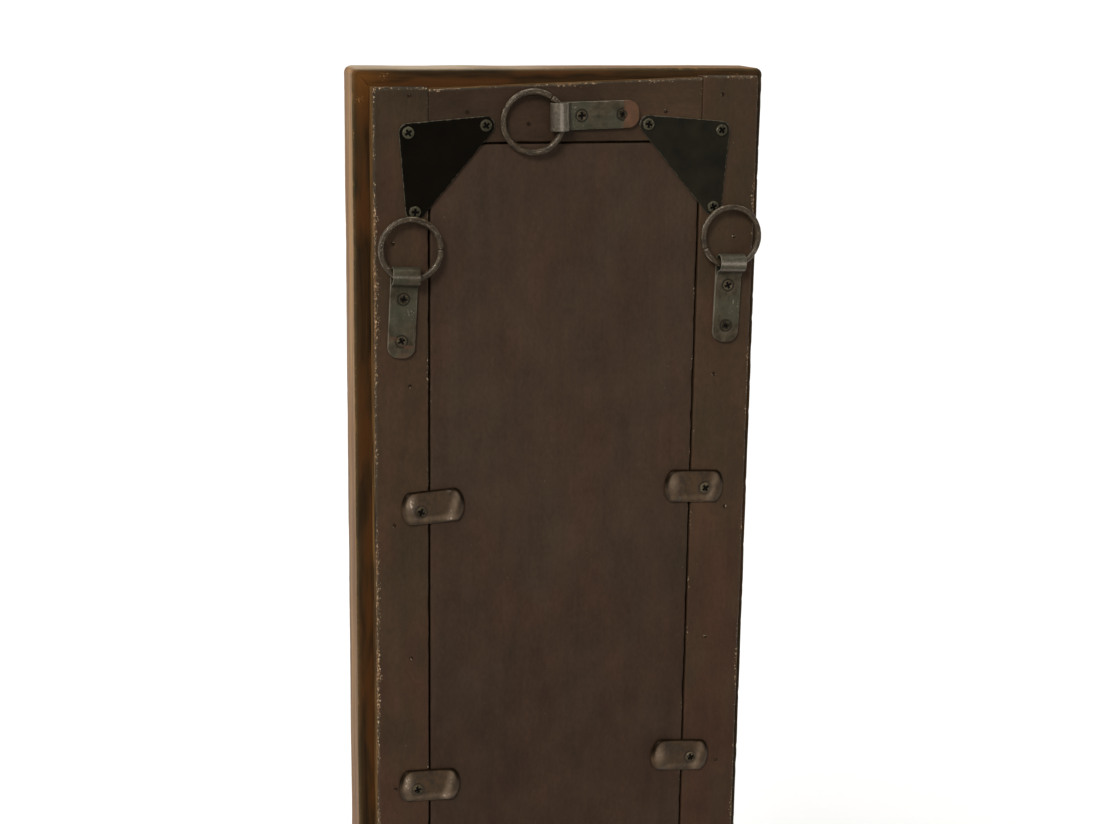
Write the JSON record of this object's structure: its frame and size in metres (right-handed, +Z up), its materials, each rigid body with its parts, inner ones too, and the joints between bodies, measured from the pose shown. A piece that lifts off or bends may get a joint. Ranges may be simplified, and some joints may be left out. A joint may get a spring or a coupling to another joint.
{
  "type": "standing mirror",
  "caption": "Tall narrow leaning or hanging mirror: chunky wood moulding, rear frame with let-in board, ring hangers, corner plates and turn buttons.",
  "frame": {"origin": "centre of the moulding's bottom face, which stands on the floor", "axes": "+X to the left seen from behind, +Y out of the back (the mirror faces -Y), +Z up"},
  "size_m": [0.3, 0.0713, 1.26],
  "materials": {
    "moulding_wood": "stained and waxed solid wood, worn edges",
    "rear_frame_paint": "flat brown paint on solid wood, chipped edges",
    "board_paint": "flat brown paint on fibreboard",
    "mirror": "silvered float glass",
    "card": "plain card",
    "plate_black": "black lacquered sheet steel",
    "plate_screw_steel": "dull zinc plate",
    "strap_steel": "olive-grey lacquered sheet steel",
    "ring_steel": "brown-grey lacquered wire, worn",
    "button_steel": "brown lacquered pressed steel, worn",
    "small_screw_steel": "dark oxidised steel",
    "brad_steel": "painted-over steel"
  },
  "bodies": {
    "frame": {"backing_board": "board_paint", "button_screws": "small_screw_steel", "card_sheet": "card", "corner_plate_bottom_left": "plate_black", "corner_plate_bottom_right": "plate_black", "corner_plate_screws": "plate_screw_steel", "corner_plate_top_left": "plate_black", "corner_plate_top_right": "plate_black", "frame_brads": "brad_steel", "hanger_screws": "small_screw_steel", "hanger_strap_bottom": "strap_steel", "hanger_strap_left": "strap_steel", "hanger_strap_right": "strap_steel", "hanger_strap_top": "strap_steel", "mirror_glass": "mirror", "moulding_bottom": "moulding_wood", "moulding_left": "moulding_wood", "moulding_right": "moulding_wood", "moulding_top": "moulding_wood", "rail_bottom": "rear_frame_paint", "rail_top": "rear_frame_paint", "stile_left": "rear_frame_paint", "stile_right": "rear_frame_paint"},
    "ring_left": {"hanger_ring_left": "ring_steel"},
    "ring_right": {"hanger_ring_right": "ring_steel"},
    "ring_top": {"hanger_ring_top": "ring_steel"},
    "ring_bottom": {"hanger_ring_bottom": "ring_steel"},
    "button_left_1": {"turn_button_left_1": "button_steel"},
    "button_right_1": {"turn_button_right_1": "button_steel"},
    "button_left_2": {"turn_button_left_2": "button_steel"},
    "button_right_2": {"turn_button_right_2": "button_steel"},
    "button_left_3": {"turn_button_left_3": "button_steel"},
    "button_right_3": {"turn_button_right_3": "button_steel"},
    "button_left_4": {"turn_button_left_4": "button_steel"},
    "button_right_4": {"turn_button_right_4": "button_steel"}
  },
  "joints": [
    {"name": "ring_left_swing", "type": "hinge", "parent": "frame", "child": "ring_left", "pos_m": [0.11685, 0.04363, 1.118], "axis": [-0.9988, 0, -0.0488], "range_deg": [0, 181.7]},
    {"name": "ring_right_swing", "type": "hinge", "parent": "frame", "child": "ring_right", "pos_m": [-0.12275, 0.04363, 1.1215], "axis": [-0.9997, 0, -0.0262], "range_deg": [0, 181.6]},
    {"name": "ring_top_swing", "type": "hinge", "parent": "frame", "child": "ring_top", "pos_m": [0.00751, 0.04363, 1.2274], "axis": [0.0262, 0, 0.9997], "range_deg": [0, 185.9]},
    {"name": "ring_bottom_swing", "type": "hinge", "parent": "frame", "child": "ring_bottom", "pos_m": [0.00751, 0.04363, 0.0326], "axis": [-0.0175, 0, 0.9998], "range_deg": [0, 185.9]},
    {"name": "button_left_1_turn", "type": "hinge", "parent": "frame", "child": "button_left_1", "pos_m": [0.1053, 0.037, 0.9452], "axis": [0, 1, 0], "continuous": true},
    {"name": "button_right_1_turn", "type": "hinge", "parent": "frame", "child": "button_right_1", "pos_m": [-0.11, 0.037, 0.9516], "axis": [0, 1, 0], "continuous": true},
    {"name": "button_left_2_turn", "type": "hinge", "parent": "frame", "child": "button_left_2", "pos_m": [0.1083, 0.037, 0.7308], "axis": [0, 1, 0], "continuous": true},
    {"name": "button_right_2_turn", "type": "hinge", "parent": "frame", "child": "button_right_2", "pos_m": [-0.1051, 0.037, 0.7372], "axis": [0, 1, 0], "continuous": true},
    {"name": "button_left_3_turn", "type": "hinge", "parent": "frame", "child": "button_left_3", "pos_m": [0.1065, 0.037, 0.5164], "axis": [0, 1, 0], "continuous": true},
    {"name": "button_right_3_turn", "type": "hinge", "parent": "frame", "child": "button_right_3", "pos_m": [-0.1081, 0.037, 0.5228], "axis": [0, 1, 0], "continuous": true},
    {"name": "button_left_4_turn", "type": "hinge", "parent": "frame", "child": "button_left_4", "pos_m": [0.1087, 0.037, 0.302], "axis": [0, 1, 0], "continuous": true},
    {"name": "button_right_4_turn", "type": "hinge", "parent": "frame", "child": "button_right_4", "pos_m": [-0.1067, 0.037, 0.3084], "axis": [0, 1, 0], "continuous": true}
  ]
}
